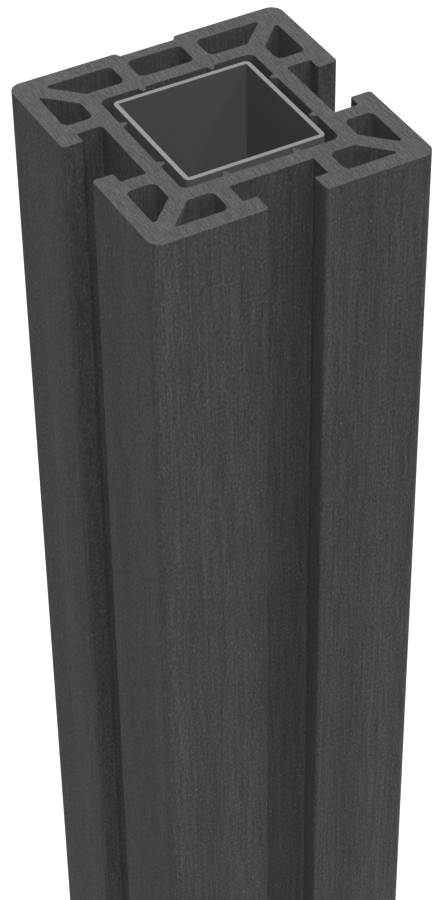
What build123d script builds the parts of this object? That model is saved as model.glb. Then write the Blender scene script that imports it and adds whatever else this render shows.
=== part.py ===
"""Gate post: a wood-plastic composite profile, extruded in one piece, over a square steel core tube.

The section is drawn in plan, +Z runs up the post, and the origin is the centre of its foot.
Three sides have an undercut slot for fence boards. The fourth side, +Y, is closed: it has a
shallow recess over a middle chamber, in line with where the other sides have their slots.
"""

import os
from math import atan2, degrees, sqrt

from build123d import *

# Driving dimensions, in millimetres
post_length = 1050.0
post_corner_radius = 4.0

# Steel core tube
core_width = 45.0
core_wall = 1.5
core_inside_radius = 0.3

# Layers of the composite profile on each side, from the core outwards
core_clearance = 0.9
rib_height = 1.85
bore_wall = 5.0
chamber_depth = 9.35
skin = 5.4

# Bore and the ribs that keep the core in its middle, two on each wall
bore_corner_radius = 2.4
rib_spacing = 22.5
rib_root_width = 2.4
rib_tip_width = 0.8

# Undercut slots for the boards
slot_width = 27.0
slot_mouth = 18.2
lip_thickness = 6.7
slot_corner_radius = 0.5
lip_edge_radius = 1.2

# Closed side
recess_depth = 1.8
recess_edge_radius = 1.6
middle_chamber_width = 18.0

# Chambers and the webs between them
web = 5.0
diagonal_web = 5.2
chamber_radius = 2.0
chamber_bend_radius = 1.0
chamber_tip_radius = 0.7

# Distances from the post's axis that follow from the layers
bore_width = core_width + 2 * (core_clearance + rib_height)
inner_face = bore_width / 2 + bore_wall
outer_face = inner_face + chamber_depth
post_face = outer_face + skin
post_width = 2 * post_face

# Turns of the side that faces +Y onto the left, front and right sides
slotted_sides = (90, 180, 270)

os.makedirs("parts", exist_ok=True)


# Slot: a T in plan, with its foot on the wall round the bore and its mouth in the outer face
slot_depth = post_face - lip_thickness - inner_face
with BuildSketch() as slot:
    with Locations((0, inner_face)):
        Rectangle(slot_width, slot_depth, align=(Align.CENTER, Align.MIN))
        Rectangle(slot_mouth, post_face - inner_face, align=(Align.CENTER, Align.MIN))
    floor_and_lips = slot.vertices().group_by(Axis.Y)[:2]
    fillet([corner for level in floor_and_lips for corner in level], slot_corner_radius)


def corner_chambers(start):
    """The two corner chambers of the side that faces +Y, each from x = start to its diagonal web."""
    diagonal_shift = diagonal_web / sqrt(2)
    with BuildSketch() as chambers:
        with BuildLine():
            Polyline(
                (start, inner_face),
                (start, outer_face),
                (outer_face - diagonal_shift, outer_face),
                (inner_face - diagonal_shift, inner_face),
                close=True,
            )
        make_face()
        fillet(chambers.vertices().sort_by(Axis.X)[-1], chamber_tip_radius)
        fillet(chambers.vertices().group_by(Axis.Y)[0].sort_by(Axis.X)[-1], chamber_bend_radius)
        fillet(chambers.vertices().group_by(Axis.X)[0], chamber_radius)
        mirror(about=Plane.YZ)
    return chambers.sketch


# Chambers of a slotted side, and of the closed side with the one in its middle
slotted_side_chambers = corner_chambers(slot_width / 2 + web)
with BuildSketch() as closed_side_chambers:
    add(corner_chambers(middle_chamber_width / 2 + web))
    with Locations((0, (inner_face + outer_face) / 2)):
        RectangleRounded(middle_chamber_width, chamber_depth, chamber_radius)


# Bore: a square with soft corners, less the ribs that stand in from its walls
rib_side_angle = degrees(atan2(rib_height, (rib_root_width - rib_tip_width) / 2))
with BuildSketch() as bore:
    RectangleRounded(bore_width, bore_width, bore_corner_radius)
    with PolarLocations(bore_width / 2, 4):
        with Locations((0, -rib_spacing / 2), (0, rib_spacing / 2)):
            Trapezoid(
                rib_root_width,
                rib_height,
                rib_side_angle,
                rotation=90,
                align=(Align.CENTER, Align.MIN),
                mode=Mode.SUBTRACT,
            )


def mouth_edges(vertices):
    """Where the mouths of the slots and the recess cut the outer faces, in plan."""
    tolerance = slot_corner_radius / 10
    return vertices.filter_by(
        lambda v: abs(max(abs(v.X), abs(v.Y)) - post_face) < tolerance
        and abs(min(abs(v.X), abs(v.Y)) - slot_mouth / 2) < tolerance
    )


# Composite profile: the whole section, extruded to the post's length
with BuildPart() as composite_profile:
    with BuildSketch() as section:
        RectangleRounded(post_width, post_width, post_corner_radius)
        for turn in slotted_sides:
            add(slot.sketch, rotation=turn, mode=Mode.SUBTRACT)
            add(slotted_side_chambers, rotation=turn, mode=Mode.SUBTRACT)
        with Locations((0, post_face)):
            Rectangle(slot_mouth, recess_depth, align=(Align.CENTER, Align.MAX), mode=Mode.SUBTRACT)
        add(closed_side_chambers.sketch, mode=Mode.SUBTRACT)
        add(bore.sketch, mode=Mode.SUBTRACT)
        fillet(mouth_edges(section.vertices()).group_by(Axis.Y)[-1], recess_edge_radius)
        fillet(mouth_edges(section.vertices()), lip_edge_radius)
    extrude(amount=post_length)
composite_profile.part.label = "composite_profile"
export_step(composite_profile.part, "parts/composite_profile.step")


# Steel core: a square tube as long as the profile, standing free between the ribs
with BuildPart() as steel_core_tube:
    with BuildSketch():
        RectangleRounded(core_width, core_width, core_inside_radius + core_wall)
        core_bore = core_width - 2 * core_wall
        RectangleRounded(core_bore, core_bore, core_inside_radius, mode=Mode.SUBTRACT)
    extrude(amount=post_length)
steel_core_tube.part.label = "steel_core_tube"
export_step(steel_core_tube.part, "parts/steel_core_tube.step")
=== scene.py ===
"""Gate post: the finish of its two pieces, a brushed composite profile and the steel tube inside it.

Everything is in metres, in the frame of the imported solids: +Z runs up the post, and the origin is the
middle of its foot. Sizes of the section are written in millimetres and multiplied by mm.
"""

from math import cos, pi, radians, sin

import bpy
import numpy as np
from mathutils import Matrix, Vector, geometry


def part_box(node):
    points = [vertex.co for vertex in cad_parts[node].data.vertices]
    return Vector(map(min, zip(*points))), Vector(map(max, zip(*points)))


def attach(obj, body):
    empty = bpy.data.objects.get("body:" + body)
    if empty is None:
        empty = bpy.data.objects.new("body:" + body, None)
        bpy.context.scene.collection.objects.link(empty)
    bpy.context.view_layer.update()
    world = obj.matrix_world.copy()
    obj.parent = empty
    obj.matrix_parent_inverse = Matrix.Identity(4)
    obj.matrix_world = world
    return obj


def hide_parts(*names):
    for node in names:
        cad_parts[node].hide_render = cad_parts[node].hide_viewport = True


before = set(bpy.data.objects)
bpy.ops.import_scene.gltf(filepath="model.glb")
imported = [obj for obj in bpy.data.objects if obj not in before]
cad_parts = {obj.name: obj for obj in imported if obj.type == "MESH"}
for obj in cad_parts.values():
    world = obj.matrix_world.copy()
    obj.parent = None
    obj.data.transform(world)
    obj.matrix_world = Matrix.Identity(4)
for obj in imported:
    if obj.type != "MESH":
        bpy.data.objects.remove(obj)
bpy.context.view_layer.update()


# Composite profile
# The post itself: wood flour in dark polymer, pressed through one die as a square with slots and chambers.
# Its long faces are brushed along the post, and it is sawn square at head and foot.
mm = 0.001
profile_low, profile_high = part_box("composite_profile")
core_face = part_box("steel_core_tube")[1].x
post_face = profile_high.x
post_corner_radius = 4.0 * mm

core_play = 0.9 * mm
rib_height = 1.85 * mm
rib_root = 2.4 * mm
rib_tip = 0.8 * mm
rib_place = 11.25 * mm
bore_corner_radius = 2.4 * mm
bore_wall = 5.0 * mm

skin = 5.4 * mm
web = 5.0 * mm
diagonal_web = 5.2 * mm
chamber_radius = 2.0 * mm
chamber_bend_radius = 1.0 * mm
chamber_tip_radius = 0.7 * mm
middle_chamber = 9.0 * mm

slot = 13.5 * mm
mouth = 9.1 * mm
lip_thickness = 6.7 * mm
slot_corner_radius = 0.5 * mm
lip_edge_radius = 1.2 * mm
recess_depth = 1.8 * mm
recess_edge_radius = 1.6 * mm

bore_face = core_face + core_play + rib_height
inner_face = bore_face + bore_wall
outer_face = post_face - skin
lip_face = post_face - lip_thickness


def rounded(corners, arc_steps=9):
    """Closed outline through corners (x, y, radius), with every corner turned into an arc.

    With unit vectors a and b from a corner to its neighbours and half the angle between them, the arc's
    centre lies on the bisector, radius / sin(half) away, and the arc starts radius / tan(half) along a.
    """
    corners = np.array(corners)
    point, radius = corners[:, :2], corners[:, 2:]
    a = np.roll(point, 1, axis=0) - point
    b = np.roll(point, -1, axis=0) - point
    a /= np.linalg.norm(a, axis=1, keepdims=True)
    b /= np.linalg.norm(b, axis=1, keepdims=True)
    half = np.arccos((a * b).sum(1, keepdims=True)) / 2
    centre = point + (a + b) / np.linalg.norm(a + b, axis=1, keepdims=True) * radius / np.sin(half)
    start = point + a * radius / np.tan(half) - centre
    end = point + b * radius / np.tan(half) - centre
    turn = (pi - 2 * half)[:, None]
    t = np.linspace(0, 1, arc_steps)[None, :, None]
    arc = (np.sin((1 - t) * turn) * start[:, None] + np.sin(t * turn) * end[:, None]) / np.sin(turn)
    return (centre[:, None] + arc).reshape(-1, 2)


def turned(corners, quarters):
    """Corners (x, y, radius) turned about the post's axis by quarter turns: (x, y) goes to (-y, x)."""
    corners = np.array(corners)
    for _ in range(quarters):
        corners[:, :2] = np.stack([-corners[:, 1], corners[:, 0]], axis=1)
    return corners


def spaced(outline, step):
    """The outline with points added on its straight runs, so that none are further apart than about step.

    Its length is measured along it, and x and y are read off at its own points and at every step, unless
    a step falls close to a point. The places along it are rounded to 0.1 micrometre, and returned too.
    """
    closed = np.vstack([outline, outline[:1]])
    along = np.concatenate([[0], np.cumsum(np.linalg.norm(np.diff(closed, axis=0), axis=1))])
    extra = np.arange(0, along[-1], step)
    extra = extra[np.abs(extra[:, None] - along).min(axis=1) > step / 3]
    at = np.unique(np.round(np.concatenate([along[:-1], extra]), 7))
    return np.stack([np.interp(at, along, closed[:, 0]), np.interp(at, along, closed[:, 1])], axis=1), at


# Corners of each kind of side as it faces -Y, from left to right, without the post's right-hand corner
slotted_side = [
    (-post_face, -post_face, post_corner_radius),
    (-mouth, -post_face, lip_edge_radius),
    (-mouth, -lip_face, slot_corner_radius),
    (-slot, -lip_face, slot_corner_radius),
    (-slot, -inner_face, slot_corner_radius),
    (slot, -inner_face, slot_corner_radius),
    (slot, -lip_face, slot_corner_radius),
    (mouth, -lip_face, slot_corner_radius),
    (mouth, -post_face, lip_edge_radius),
]
closed_side = [
    (-post_face, -post_face, post_corner_radius),
    (-mouth, -post_face, recess_edge_radius),
    (-mouth, -post_face + recess_depth, 0),
    (mouth, -post_face + recess_depth, 0),
    (mouth, -post_face, recess_edge_radius),
]
bore_side = [
    (-bore_face, -bore_face, bore_corner_radius),
    *[
        (side * rib_place + offset, -bore_face + height, 0)
        for side in (-1, 1)
        for offset, height in (
            (-rib_root / 2, 0),
            (-rib_tip / 2, rib_height),
            (rib_tip / 2, rib_height),
            (rib_root / 2, 0),
        )
    ],
]
diagonal_shift = diagonal_web / np.sqrt(2)


def corner_chambers(start):
    """The two corner chambers of a side that faces -Y, each from x = start to its diagonal web."""
    chamber = np.array([
        (start, -inner_face, chamber_radius),
        (inner_face - diagonal_shift, -inner_face, chamber_bend_radius),
        (outer_face - diagonal_shift, -outer_face, chamber_tip_radius),
        (start, -outer_face, chamber_radius),
    ])
    return [chamber, (chamber * (-1, 1, 1))[::-1]]


# Front, right, back and left follow one another; the outside runs anticlockwise and every hollow clockwise
sides = [slotted_side, slotted_side, closed_side, slotted_side]
outside = rounded(np.vstack([turned(side, q) for q, side in enumerate(sides)]))
bore = rounded(np.vstack([turned(bore_side, q) for q in range(4)]))[::-1]
hollows = [bore]
for quarters, side in enumerate(sides):
    start = middle_chamber + web if side is closed_side else slot + web
    hollows += [rounded(turned(chamber, quarters)) for chamber in corner_chambers(start)]
hollows.append(rounded(turned([
    (middle_chamber, -inner_face, chamber_radius),
    (middle_chamber, -outer_face, chamber_radius),
    (-middle_chamber, -outer_face, chamber_radius),
    (-middle_chamber, -inner_face, chamber_radius),
], 2)))

# Scores of brush and saw; the real ones are finer than the picture can show, so these stand wider apart
brush_pitch = 0.8 * mm
brush_stroke = 45 * mm
brush_depth = 0.02 * mm
saw_pitch = 0.5 * mm
saw_stroke = 14 * mm
saw_depth = 0.02 * mm
edge_break = 0.08 * mm

# Spacing of the mesh: levels up the post, points round the hollows, and rows of points on the sawn ends
level_step = 24 * mm
hollow_step = 20 * mm
end_row_step = 3 * mm


def scores(across, along, pitch, stroke, depth, seed):
    """Depth of a field of fine parallel scores, at points given by their place across and along them.

    Random depths stand on a lattice, one pitch apart across the scores and one stroke apart along them.
    Between its points the depth is blended, evenly across and by 3t^2 - 2t^3 along. Most are shallow.
    """
    i, j = across / pitch, along / stroke
    i0, j0 = np.floor(i).astype(int), np.floor(j).astype(int)
    rng = np.random.default_rng(seed)
    lattice = depth * rng.random((np.ptp(i0) + 2, np.ptp(j0) + 2)) ** 2
    s, t = i - i0, j - j0
    t = t * t * (3 - 2 * t)
    i0, j0 = i0 - i0.min(), j0 - j0.min()
    near = lattice[i0, j0] * (1 - s) + lattice[i0 + 1, j0] * s
    far = lattice[i0, j0 + 1] * (1 - s) + lattice[i0 + 1, j0 + 1] * s
    return near * (1 - t) + far * t


def outward(outline):
    """Unit normals of an outline, to the right of its direction, from the chord through its neighbours."""
    chord = np.roll(outline, -1, axis=0) - np.roll(outline, 1, axis=0)
    return np.stack([chord[:, 1], -chord[:, 0]], axis=1) / np.linalg.norm(chord, axis=1, keepdims=True)


def inside(points, outlines):
    """Which points lie in the solid: a ray towards +X crosses the outlines an odd number of times."""
    crossings = np.zeros(len(points), int)
    x, y = points[:, :1], points[:, 1:]
    for outline in outlines:
        (x0, y0), (x1, y1) = outline.T, np.roll(outline, -1, axis=0).T
        spans = (y0 > y) != (y1 > y)
        rise = np.where(y1 == y0, 1, y1 - y0)
        crossings += (spans & (x < x0 + (y - y0) / rise * (x1 - x0))).sum(axis=1)
    return crossings % 2 == 1


# Places of the finishes in the list of materials that each piece has
outside_finish, inside_finish, cut_finish = range(3)

# The bend from which an edge is drawn sharp, and how the flat ends are cut into triangles
sharp_angle = radians(30)
triangles_inside_edges = 1
weld_distance = 1e-9


def extrusion(name, outlines, finishes, edge_finish, low, high, depths, end_points, end_depth):
    """Closed mesh of a section carried up the post, with broken edges and flat ends.

    Each outline becomes a sleeve: a grid of its points by the levels of z, moved inwards by depths, which
    gives the scores of an outline at its points and those levels. At both ends the sleeve steps in by
    edge_break. The ends are triangles on the outlines and on end_points, lowered by end_depth.
    finishes gives the finish of the strip that starts at each point, edge_finish that of the broken
    edges, and the ends have the cut finish.
    """
    vertices, quads, finish, rims = [], [], [], []
    count = 0
    for number, outline in enumerate(outlines):
        levels, depth = depths(number, outline)
        levels = np.concatenate([[low], levels, [high]])
        depth = np.vstack([depth[:1] + edge_break, depth, depth[-1:] + edge_break])
        plan = outline - outward(outline) * depth[:, :, None]
        grid = np.dstack([plan, np.broadcast_to(levels[:, None, None], (*depth.shape, 1))])
        index = count + np.arange(depth.size).reshape(depth.shape)
        right, up = np.roll(index, -1, axis=1), np.roll(index, -1, axis=0)
        right_up = np.roll(right, -1, axis=0)
        quads.append(np.stack([index, right, right_up, up], axis=-1)[:-1].reshape(-1, 4))
        vertices.append(grid.reshape(-1, 3))
        strips = np.tile(finishes[number], (len(levels) - 1, 1))
        strips[[0, -1]] = edge_finish
        finish.append(strips.ravel())
        rims.append((index[0], index[-1]))
        count += depth.size
    sleeves = np.vstack(quads)
    corners, loop_sizes = [sleeves.ravel()], [np.full(len(sleeves), 4)]

    starts = np.cumsum([len(outline) for outline in outlines])[:-1]
    for end, z in ((0, low), (1, high)):
        rim = np.concatenate([r[end] for r in rims])
        plan = np.vstack(vertices)[rim, :2]
        rings = np.split(np.arange(len(rim)), starts)
        edges = np.concatenate([np.stack([ring, np.roll(ring, -1)], axis=1) for ring in rings])
        flat = np.vstack([plan, end_points])
        found = geometry.delaunay_2d_cdt(
            flat.tolist(), edges.tolist(), [], triangles_inside_edges, weld_distance
        )
        triangles = np.concatenate(found[3])[np.array(found[2])]
        triangles = triangles[inside(flat[triangles].mean(axis=1), np.split(plan, starts))]
        names = np.concatenate([rim, count + np.arange(len(end_points))])
        lowered = z + (end_depth if end == 0 else -end_depth)
        vertices.append(np.column_stack([end_points, lowered]))
        count += len(end_points)
        triangles = names[triangles if end else triangles[:, ::-1]]
        corners.append(triangles.ravel())
        loop_sizes.append(np.full(len(triangles), 3))
        finish.append(np.full(len(triangles), cut_finish))

    mesh = bpy.data.meshes.new(name)
    vertices, corners, loop_sizes = np.vstack(vertices), np.concatenate(corners), np.concatenate(loop_sizes)
    mesh.vertices.add(len(vertices))
    mesh.vertices.foreach_set("co", vertices.ravel())
    mesh.loops.add(len(corners))
    mesh.loops.foreach_set("vertex_index", corners)
    mesh.polygons.add(len(loop_sizes))
    mesh.polygons.foreach_set("loop_start", np.cumsum(loop_sizes) - loop_sizes)
    mesh.polygons.foreach_set("material_index", np.concatenate(finish))
    mesh.polygons.foreach_set("use_smooth", np.ones(len(loop_sizes), bool))
    mesh.update(calc_edges=True)
    mesh.set_sharp_from_angle(angle=sharp_angle)
    piece = bpy.data.objects.new(name, mesh)
    bpy.context.scene.collection.objects.link(piece)
    return piece


def profile_depths(number, outline):
    """Brush scores on the outside of the profile; its hollows are as smooth as the die left them."""
    low, high = profile_low.z + edge_break, profile_high.z - edge_break
    if number > 0:
        return np.array([low, high]), np.zeros((2, len(outline)))
    levels = np.linspace(low, high, round((high - low) / level_step) + 1)
    across, along = np.meshgrid(outside_run, levels)
    return levels, scores(across, along, brush_pitch, brush_stroke, brush_depth, seed=3)


outside, outside_run = spaced(outside, brush_pitch / 2)
profile_outlines = [outside, *[spaced(hollow, hollow_step)[0] for hollow in hollows]]
profile_finishes = [
    np.full(len(outline), inside_finish if number > 0 else outside_finish)
    for number, outline in enumerate(profile_outlines)
]

# Saw marks on the ends run from the front to the back of the post, and keep clear of the edges
end_margin = 0.4 * mm
grid_x, grid_y = np.meshgrid(
    np.arange(-post_face, post_face, saw_pitch / 2), np.arange(-post_face, post_face, end_row_step)
)
ends = np.column_stack([grid_x.ravel(), grid_y.ravel()])
ends = ends[inside(ends, [outline - outward(outline) * end_margin for outline in profile_outlines])]
post = extrusion(
    "brushed_post",
    profile_outlines,
    profile_finishes,
    cut_finish,
    profile_low.z,
    profile_high.z,
    profile_depths,
    ends,
    scores(ends[:, 0], ends[:, 1], saw_pitch, saw_stroke, saw_depth, seed=5),
)


def linear(colour):
    """A hex colour in sRGB as linear red, green, blue and alpha."""
    srgb = np.array([int(colour[i:i + 2], 16) for i in (1, 3, 5)]) / 255
    rgb = np.where(srgb <= 0.04045, srgb / 12.92, ((srgb + 0.055) / 1.055) ** 2.4)
    return (*rgb, 1.0)


def add_node(tree, kind, inputs, **settings):
    """Adds a node with its own settings; each input is a value for a socket, or a socket to link to it."""
    added = tree.nodes.new(kind)
    for name, value in settings.items():
        setattr(added, name, value)
    for name, value in inputs.items():
        if isinstance(value, bpy.types.NodeSocket):
            tree.links.new(value, added.inputs[name])
        else:
            added.inputs[name].default_value = value
    return added


def composite(name, dark, base, light, fleck, patterns, fleck_cell, cluster, shine, relief):
    """Wood-plastic composite: wood flour and short fibres in a dark polymer.

    The eye gets a fine grain, lines in one direction and wide soft bands, which add up to one tone between
    dark and light, and small pale specks of wood in loose clusters. patterns holds a weight and the sizes
    of one mark along x, y and z for each of the three; fleck_cell and cluster are such sizes too.
    """
    material = bpy.data.materials.new(name)
    material.use_nodes = True
    tree = material.node_tree
    tree.nodes.clear()
    place = add_node(tree, "ShaderNodeTexCoord", {}).outputs["Object"]
    tone = 0.5 - sum(weight for weight, _ in patterns) / 2
    for weight, size in patterns:
        mapped = add_node(tree, "ShaderNodeMapping", {"Vector": place, "Scale": [1 / s for s in size]})
        noise = add_node(tree, "ShaderNodeTexNoise", {
            "Vector": mapped.outputs["Vector"], "Scale": 1.0, "Detail": 1.0, "Roughness": 0.5,
        })
        tone = add_node(tree, "ShaderNodeMath", {0: noise.outputs["Fac"], 1: weight, 2: tone},
                        operation="MULTIPLY_ADD").outputs["Value"]
    body = add_node(tree, "ShaderNodeValToRGB", {"Fac": tone})
    body.color_ramp.elements[0].color = linear(dark)
    body.color_ramp.elements[1].color = linear(light)
    body.color_ramp.elements.new(0.5).color = linear(base)

    # A speck shows where a point of the surface is close to the middle of a cell, and only within a cluster
    speck_core, speck_rim = 0.06, 0.2
    cells = add_node(tree, "ShaderNodeMapping", {"Vector": place, "Scale": [1 / s for s in fleck_cell]})
    specks = add_node(tree, "ShaderNodeTexVoronoi", {"Vector": cells.outputs["Vector"], "Scale": 1.0})
    near = add_node(tree, "ShaderNodeMapRange", {
        "Value": specks.outputs["Distance"], "From Min": speck_core, "From Max": speck_rim,
        "To Min": 1.0, "To Max": 0.0,
    })
    groups = add_node(tree, "ShaderNodeMapping", {"Vector": place, "Scale": [1 / s for s in cluster]})
    crowd = add_node(tree, "ShaderNodeTexNoise", {"Vector": groups.outputs["Vector"], "Scale": 1.0})
    some = add_node(tree, "ShaderNodeMapRange", {
        "Value": crowd.outputs["Fac"], "From Min": 0.4, "From Max": 0.6,
    })
    wood = add_node(tree, "ShaderNodeMath", {0: near.outputs["Result"], 1: some.outputs["Result"]},
                    operation="MULTIPLY")
    colour = add_node(tree, "ShaderNodeMix", {
        "Factor": wood.outputs["Value"], "A": body.outputs["Color"], "B": linear(fleck),
    }, data_type="RGBA")

    # Dark places lie low and stay rough, pale ones are rubbed a little smoother
    gloss = add_node(tree, "ShaderNodeMapRange", {"Value": tone, "To Min": 0.8, "To Max": 0.62})
    bump = add_node(tree, "ShaderNodeBump", {"Height": tone, "Strength": 0.5, "Distance": relief})
    shader = add_node(tree, "ShaderNodeBsdfPrincipled", {
        "Base Color": colour.outputs[2], "Roughness": gloss.outputs["Result"],
        "Normal": bump.outputs["Normal"], "IOR": 1.49, "Specular IOR Level": shine,
    })
    add_node(tree, "ShaderNodeOutputMaterial", {"Surface": shader.outputs["BSDF"]})
    return material


# Brushing opens the dark skin into grain and lines along the post; a dry surface keeps little gloss.
# Real grain and brush lines are finer than the picture can show, so all three finishes draw them coarser,
# about half a millimetre wide, and here a little closer on the left and right sides.
brushed = composite(
    "brushed wood-plastic composite", "#2d2d2d", "#3d3d3d", "#4f4f4f", "#5b5b5b",
    patterns=(
        (1.35, (0.65 * mm, 0.42 * mm, 1.1 * mm)),
        (0.75, (0.5 * mm, 0.35 * mm, 20 * mm)),
        (0.5, (16 * mm, 16 * mm, 300 * mm)),
    ),
    fleck_cell=(2.0 * mm, 2.6 * mm, 2.4 * mm), cluster=(9 * mm, 9 * mm, 14 * mm),
    shine=0.05, relief=0.012 * mm,
)
# The hollows keep the smooth skin that the die left, slightly darker and glossier, with lines up the post
drawn = composite(
    "extruded wood-plastic composite", "#2a2a2a", "#3b3b3b", "#4b4b4b", "#555555",
    patterns=(
        (1.0, (0.6 * mm, 0.6 * mm, 1.0 * mm)),
        (1.0, (0.45 * mm, 0.45 * mm, 14 * mm)),
        (0.4, (12 * mm, 12 * mm, 300 * mm)),
    ),
    fleck_cell=(2.2 * mm, 2.2 * mm, 2.8 * mm), cluster=(9 * mm, 9 * mm, 14 * mm),
    shine=0.3, relief=0.02 * mm,
)
# Sawing leaves a paler, drier face with saw lines and cut specks of wood
sawn = composite(
    "sawn wood-plastic composite", "#333333", "#4d4d4d", "#686868", "#727272",
    patterns=(
        (1.8, (0.4 * mm, 0.4 * mm, 0.4 * mm)),
        (1.2, (0.42 * mm, 5 * mm, 5 * mm)),
        (0.2, (12 * mm, 30 * mm, 30 * mm)),
    ),
    fleck_cell=(1.6 * mm, 1.6 * mm, 1.6 * mm), cluster=(6 * mm, 6 * mm, 6 * mm),
    shine=0.25, relief=0.04 * mm,
)
for finish in (brushed, drawn, sawn):
    post.data.materials.append(finish)
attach(post, "root")
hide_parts("composite_profile")


# Steel core tube
# A square tube bent and welded from galvanised strip, cut to the post's length, which stiffens the post.
# It stands loose between the ribs of the bore, and its saw-cut ends are bright.
tube_low, tube_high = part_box("steel_core_tube")
tube_wall = 1.5 * mm
tube_inside_radius = 0.3 * mm
tube_inside = core_face - tube_wall
tube_levels = 8
tube_outlines = []
for half_width, radius in ((core_face, tube_inside_radius + tube_wall), (tube_inside, tube_inside_radius)):
    square = rounded([
        (-half_width, -half_width, radius),
        (half_width, -half_width, radius),
        (half_width, half_width, radius),
        (-half_width, half_width, radius),
    ])
    tube_outlines.append(square if half_width == core_face else square[::-1])


def tube_depths(number, outline):
    """The walls of the tube are plain and straight, in a few levels."""
    levels = np.linspace(tube_low.z + edge_break, tube_high.z - edge_break, tube_levels)
    return levels, np.zeros((len(levels), len(outline)))


tube = extrusion(
    "core_tube",
    tube_outlines,
    [np.full(len(outline), side) for side, outline in zip((outside_finish, inside_finish), tube_outlines)],
    outside_finish,
    tube_low.z,
    tube_high.z,
    tube_depths,
    np.zeros((0, 2)),
    np.zeros(0),
)


def steel(name, dull, bright, metallic, roughness, shine, cloud_size, line_size, relief):
    """Grey metal with soft clouds in its tone and gloss, and faint lines from the rolls or the saw.

    A noise for the clouds blends dull into bright and moves the roughness by gloss_spread either way;
    another for the lines lifts the surface. Each has the sizes of one mark along x, y and z.
    """
    gloss_spread = 0.05
    material = bpy.data.materials.new(name)
    material.use_nodes = True
    tree = material.node_tree
    tree.nodes.clear()
    place = add_node(tree, "ShaderNodeTexCoord", {}).outputs["Object"]
    clouds, lines = [
        add_node(tree, "ShaderNodeTexNoise", {
            "Vector": add_node(tree, "ShaderNodeMapping", {
                "Vector": place, "Scale": [1 / s for s in size],
            }).outputs["Vector"],
            "Scale": 1.0, "Detail": 2.0, "Roughness": 0.5,
        }).outputs["Fac"]
        for size in (cloud_size, line_size)
    ]
    colour = add_node(tree, "ShaderNodeMix", {
        "Factor": clouds, "A": linear(dull), "B": linear(bright),
    }, data_type="RGBA")
    gloss = add_node(tree, "ShaderNodeMapRange", {
        "Value": clouds, "From Min": 0.3, "From Max": 0.7,
        "To Min": roughness + gloss_spread, "To Max": roughness - gloss_spread,
    })
    bump = add_node(tree, "ShaderNodeBump", {"Height": lines, "Strength": 0.4, "Distance": relief})
    shader = add_node(tree, "ShaderNodeBsdfPrincipled", {
        "Base Color": colour.outputs[2], "Metallic": metallic, "Roughness": gloss.outputs["Result"],
        "Normal": bump.outputs["Normal"], "Specular IOR Level": shine,
    })
    add_node(tree, "ShaderNodeOutputMaterial", {"Surface": shader.outputs["BSDF"]})
    return material


# The zinc has dulled to a matt grey with faint lines from the rolls, drawn wider than the real ones, which
# are too fine to show. The same zinc is painted lighter on the outside of the tube, as painted light in the
# narrow gap round it, and darker inside, as painted shade in the tube.
strip = {
    "metallic": 0.1, "roughness": 0.7, "shine": 0.1, "relief": 0.01 * mm,
    "cloud_size": (12 * mm, 12 * mm, 30 * mm), "line_size": (1.5 * mm, 1.5 * mm, 60 * mm),
}
zinc_outside_painted_light = steel("galvanised steel strip", "#505050", "#575757", **strip)
# Painted shade: the inside of the tube is the outside's zinc made darker
zinc_inside_painted_shade = steel("galvanised steel strip with painted shade", "#494949", "#515151", **strip)
# A saw cut shows the bare steel, bright, with saw lines across the post that are drawn wider too
cut_steel = steel(
    "saw-cut steel", "#878787", "#919191", metallic=0.7, roughness=0.5, shine=0.5, relief=0.003 * mm,
    cloud_size=(9 * mm, 9 * mm, 9 * mm), line_size=(0.5 * mm, 12 * mm, 12 * mm),
)
for finish in (zinc_outside_painted_light, zinc_inside_painted_shade, cut_steel):
    tube.data.materials.append(finish)
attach(tube, "root")
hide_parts("steel_core_tube")


# Studio
# A floor of matt white paper, on which the post stands. It reaches beyond any view, and where the camera
# or a reflection sees it, it glows a little, so that it comes out white and still takes the post's shadow.
floor_reach = 30.0
floor_glow = 0.5
floor_mesh = bpy.data.meshes.new("studio_floor")
floor_mesh.from_pydata(
    [(x * floor_reach, y * floor_reach, profile_low.z) for x, y in ((-1, -1), (1, -1), (1, 1), (-1, 1))],
    [], [(0, 1, 2, 3)],
)
floor = bpy.data.objects.new("studio_floor", floor_mesh)
bpy.context.scene.collection.objects.link(floor)
paper = bpy.data.materials.new("matt white paper")
paper.use_nodes = True
paper.node_tree.nodes.clear()
seen = add_node(paper.node_tree, "ShaderNodeLightPath", {})
seen_or_mirrored = add_node(paper.node_tree, "ShaderNodeMath", {
    0: seen.outputs["Is Camera Ray"], 1: seen.outputs["Is Glossy Ray"]}, operation="MAXIMUM")
seen_any_way = add_node(paper.node_tree, "ShaderNodeMath", {
    0: seen_or_mirrored.outputs["Value"], 1: seen.outputs["Is Transmission Ray"]}, operation="MAXIMUM")
lift = add_node(paper.node_tree, "ShaderNodeMath", {0: seen_any_way.outputs["Value"], 1: floor_glow},
                operation="MULTIPLY")
glow = add_node(paper.node_tree, "ShaderNodeEmission", {"Strength": lift.outputs["Value"]})
matt = add_node(paper.node_tree, "ShaderNodeBsdfDiffuse", {"Color": linear("#dcdcdc")})
sheet = add_node(paper.node_tree, "ShaderNodeAddShader", {
    0: glow.outputs["Emission"], 1: matt.outputs["BSDF"]})
add_node(paper.node_tree, "ShaderNodeOutputMaterial", {"Surface": sheet.outputs["Shader"]})
floor.data.materials.append(paper)

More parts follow.
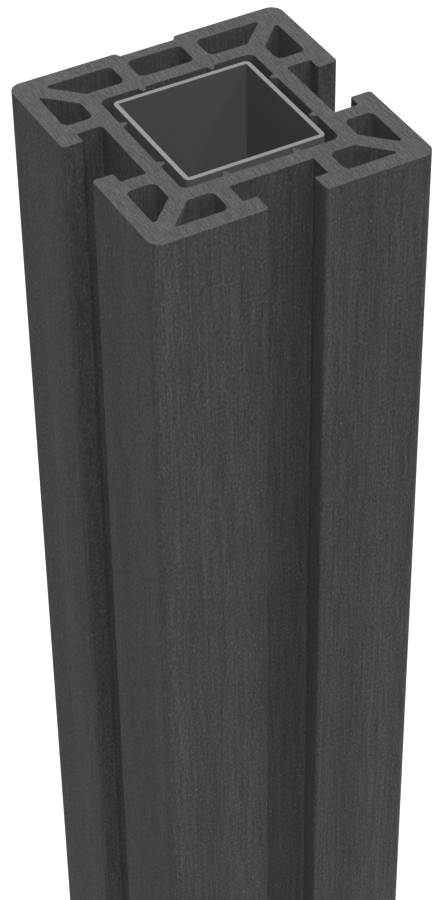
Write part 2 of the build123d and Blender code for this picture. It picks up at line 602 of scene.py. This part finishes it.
# The room is white to the camera and in reflections, and gives a little even light from all round
room_light = 0.04
room = bpy.data.worlds.new("studio")
room.use_nodes = True
room.node_tree.nodes.clear()
path = add_node(room.node_tree, "ShaderNodeLightPath", {})
straight = add_node(room.node_tree, "ShaderNodeMath", {
    0: path.outputs["Is Camera Ray"], 1: path.outputs["Is Transmission Ray"]}, operation="MAXIMUM")
straight_or_mirrored = add_node(room.node_tree, "ShaderNodeMath", {
    0: straight.outputs["Value"], 1: path.outputs["Is Glossy Ray"]}, operation="MAXIMUM")
strength = add_node(room.node_tree, "ShaderNodeMapRange", {
    "Value": straight_or_mirrored.outputs["Value"], "To Min": room_light, "To Max": 1.0})
air = add_node(room.node_tree, "ShaderNodeBackground", {
    "Color": linear("#ffffff"), "Strength": strength.outputs["Result"]})
add_node(room.node_tree, "ShaderNodeOutputWorld", {"Surface": air.outputs["Background"]})
bpy.context.scene.world = room

# Four lamps stand round the post and cast its shadow; two more without shadow fill its slots and hollows
lamp_spread = radians(9)
for name, azimuth, elevation, level, casts_shadow in (
    ("left_front_light", -36, 41, 0.5, True),
    ("right_front_light", 30, 41, 0.5, True),
    ("right_light", 100, 12, 1.2, True),
    ("back_light", 175, 12, 1.4, True),
    ("front_fill", 15, 41, 2.15, False),
    ("left_fill", -90, 30, 1.0, False),
):
    lamp = bpy.data.lights.new(name, "SUN")
    lamp.angle = lamp_spread
    lamp.energy = level
    lamp.use_shadow = casts_shadow
    lit_from = bpy.data.objects.new(name, lamp)
    lit_from.rotation_euler = (radians(90 - elevation), 0, radians(azimuth))
    bpy.context.scene.collection.objects.link(lit_from)


# Camera
# It looks down on the head of the post from the front left, with a long lens, and leans over very slightly.
camera_place = Vector((-0.30783, -0.56432, profile_high.z + 0.43055))
camera_azimuth = radians(-28.605)
camera_elevation = radians(40.792)
camera_roll = radians(-0.781)
image_height = 900
focal_pixels = 2705.2
lens = bpy.data.cameras.new("camera")
lens.sensor_width = 36.0
lens.lens = focal_pixels * lens.sensor_width / image_height
lens.clip_end = 200.0
camera = bpy.data.objects.new("camera", lens)
back = Vector((
    sin(camera_azimuth) * cos(camera_elevation),
    -cos(camera_azimuth) * cos(camera_elevation),
    sin(camera_elevation),
))
right = Vector((cos(camera_azimuth), sin(camera_azimuth), 0))
axes = Matrix((right, back.cross(right), back)).transposed() @ Matrix.Rotation(camera_roll, 3, "Z")
camera.matrix_world = Matrix.Translation(camera_place) @ axes.to_4x4()
bpy.context.scene.collection.objects.link(camera)
bpy.context.scene.camera = camera
bpy.context.scene.view_settings.view_transform = "Standard"
